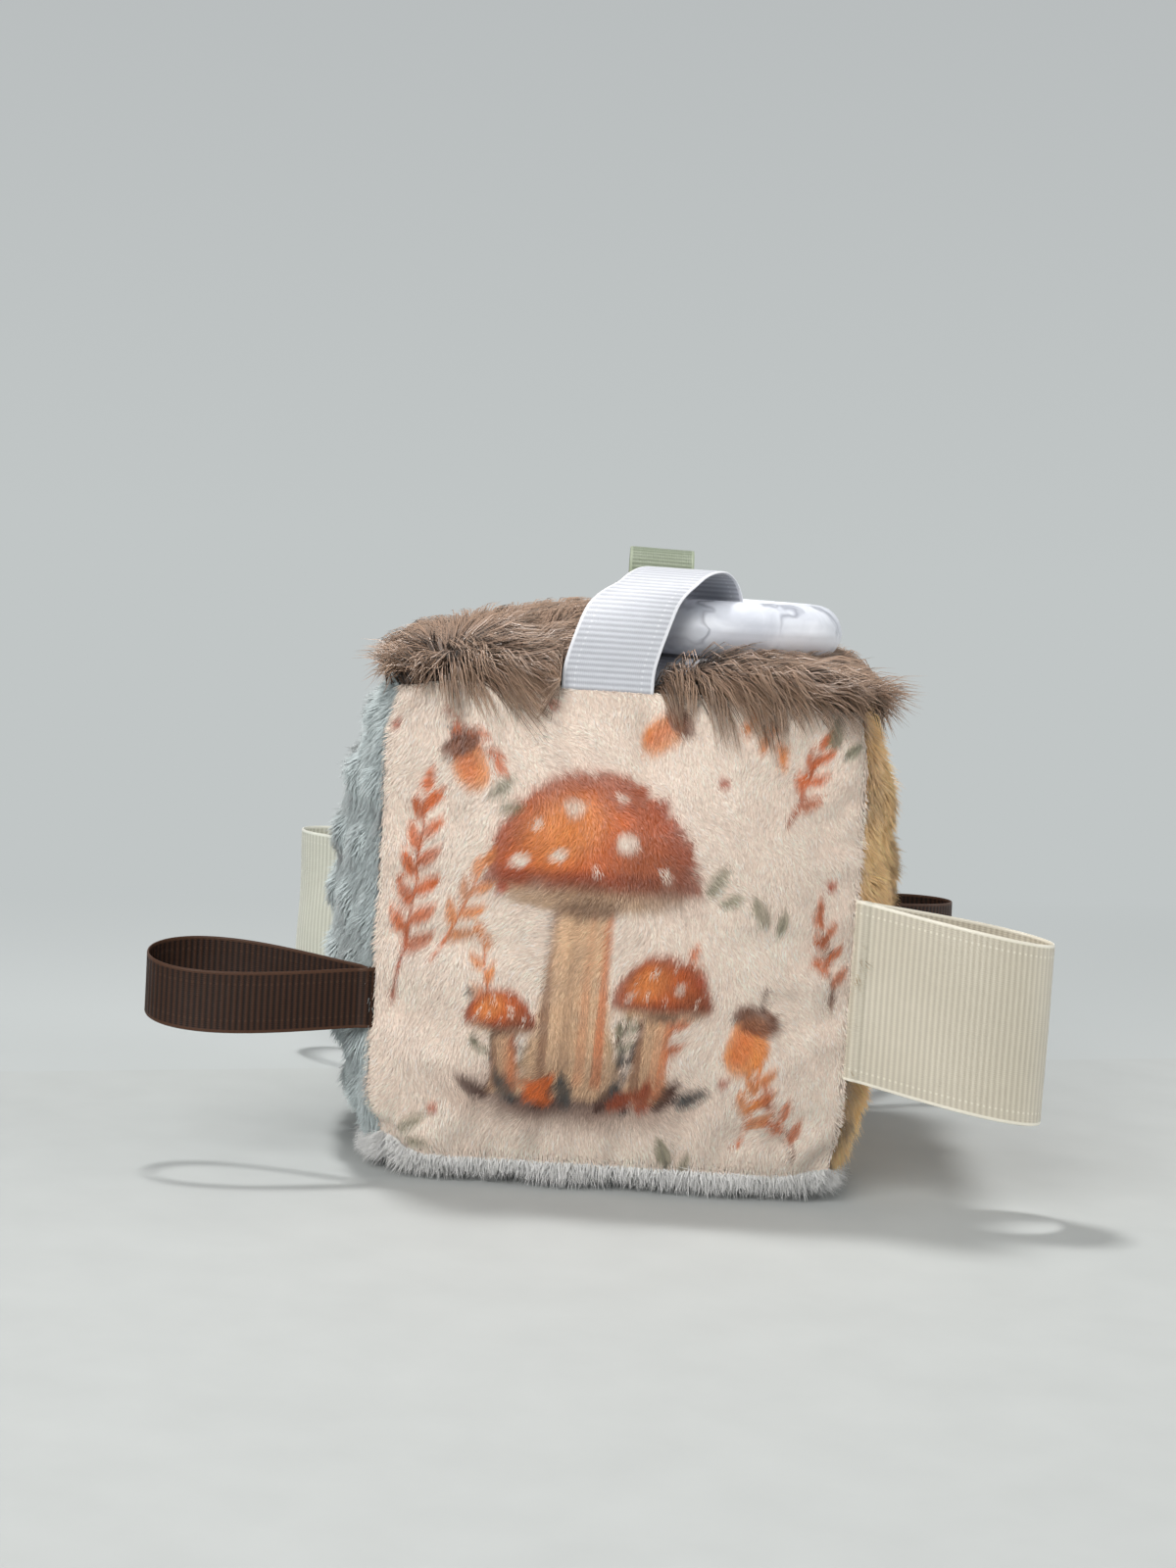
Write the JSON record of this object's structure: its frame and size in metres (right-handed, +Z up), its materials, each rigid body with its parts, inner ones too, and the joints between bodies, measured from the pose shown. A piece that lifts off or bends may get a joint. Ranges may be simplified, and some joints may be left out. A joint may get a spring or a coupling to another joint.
{
  "type": "soft fabric block",
  "caption": "Stuffed cloth cube with a different plush fabric on each face, ribbon loops sewn into its seams and a silicone teething ring held by one loop.",
  "frame": {"origin": "middle of the flat patch that the block rests on", "axes": "+Z up, the printed face looks along -Y, +X to the right of that face"},
  "size_m": [0.1886, 0.1432, 0.1351],
  "materials": {
    "printed_plush": "short soft plush, peach beige with a small printed woodland pattern",
    "blue_plush": "dotted plush, grey blue",
    "camel_plush": "short plush, camel",
    "brown_fur": "long pile faux fur, taupe brown",
    "white_plush": "dotted plush, white",
    "polyester_fibre": "loose polyester fibre filling",
    "stitching_thread": "polyester sewing thread",
    "brown_ribbon": "ribbed grosgrain ribbon, dark brown",
    "cream_ribbon": "ribbed grosgrain ribbon, cream",
    "ivory_ribbon": "ribbed grosgrain ribbon, ivory",
    "sage_ribbon": "ribbed grosgrain ribbon, sage green",
    "white_ribbon": "ribbed grosgrain ribbon, white",
    "marbled_silicone": "satin silicone, white with soft grey veins"
  },
  "bodies": {
    "block": {"front_panel": "printed_plush", "back_panel": "printed_plush", "left_panel": "blue_plush", "right_panel": "camel_plush", "top_panel": "brown_fur", "bottom_panel": "white_plush", "fibre_filling": "polyester_fibre", "seam_thread_front_bottom": "stitching_thread", "seam_thread_front_top": "stitching_thread", "seam_thread_back_bottom": "stitching_thread", "seam_thread_back_top": "stitching_thread", "seam_thread_left_bottom": "stitching_thread", "seam_thread_left_top": "stitching_thread", "seam_thread_right_bottom": "stitching_thread", "seam_thread_right_top": "stitching_thread", "seam_thread_left_front": "stitching_thread", "seam_thread_left_back": "stitching_thread", "seam_thread_right_front": "stitching_thread", "seam_thread_right_back": "stitching_thread", "brown_front_tail": "brown_ribbon", "brown_back_tail": "brown_ribbon", "cream_tail": "cream_ribbon", "ivory_tail": "ivory_ribbon", "sage_tail": "sage_ribbon", "white_tail": "white_ribbon"},
    "brown_front": {"brown_front_loop": "brown_ribbon"},
    "brown_back": {"brown_back_loop": "brown_ribbon"},
    "cream": {"cream_loop": "cream_ribbon"},
    "ivory": {"ivory_loop": "ivory_ribbon"},
    "sage": {"sage_loop": "sage_ribbon"},
    "white": {"white_loop": "white_ribbon"},
    "ring": {"teething_ring": "marbled_silicone"}
  },
  "joints": [
    {"name": "brown_front_swing", "type": "hinge", "parent": "block", "child": "brown_front", "pos_m": [-0.05, -0.05, 0.038], "axis": [0, 0, 1], "range_deg": [-30, 120], "stiffness_Nm_per_rad": 0.003},
    {"name": "brown_back_swing", "type": "hinge", "parent": "block", "child": "brown_back", "pos_m": [0.05, 0.05, 0.0445], "axis": [0, 0, 1], "range_deg": [-70, 70], "stiffness_Nm_per_rad": 0.003},
    {"name": "cream_swing", "type": "hinge", "parent": "block", "child": "cream", "pos_m": [0.05, -0.05, 0.046], "axis": [0, 0, 1], "range_deg": [-120, 35], "stiffness_Nm_per_rad": 0.004},
    {"name": "ivory_swing", "type": "hinge", "parent": "block", "child": "ivory", "pos_m": [-0.05, 0.05, 0.039], "axis": [0, 0, 1], "range_deg": [-70, 70], "stiffness_Nm_per_rad": 0.004},
    {"name": "sage_swing", "type": "hinge", "parent": "block", "child": "sage", "pos_m": [0.007, 0.05, 0.1055], "axis": [1, 0, 0], "range_deg": [-85, 65], "stiffness_Nm_per_rad": 0.003},
    {"name": "white_flip", "type": "hinge", "parent": "block", "child": "white", "pos_m": [-0.005, -0.05, 0.1055], "axis": [1, 0, 0], "range_deg": [0, 140]},
    {"name": "ring_lift", "type": "hinge", "parent": "white", "child": "ring", "pos_m": [0.00638, -0.03247, 0.1188], "axis": [0.8387, -0.5446, 0], "range_deg": [0, 85]}
  ]
}
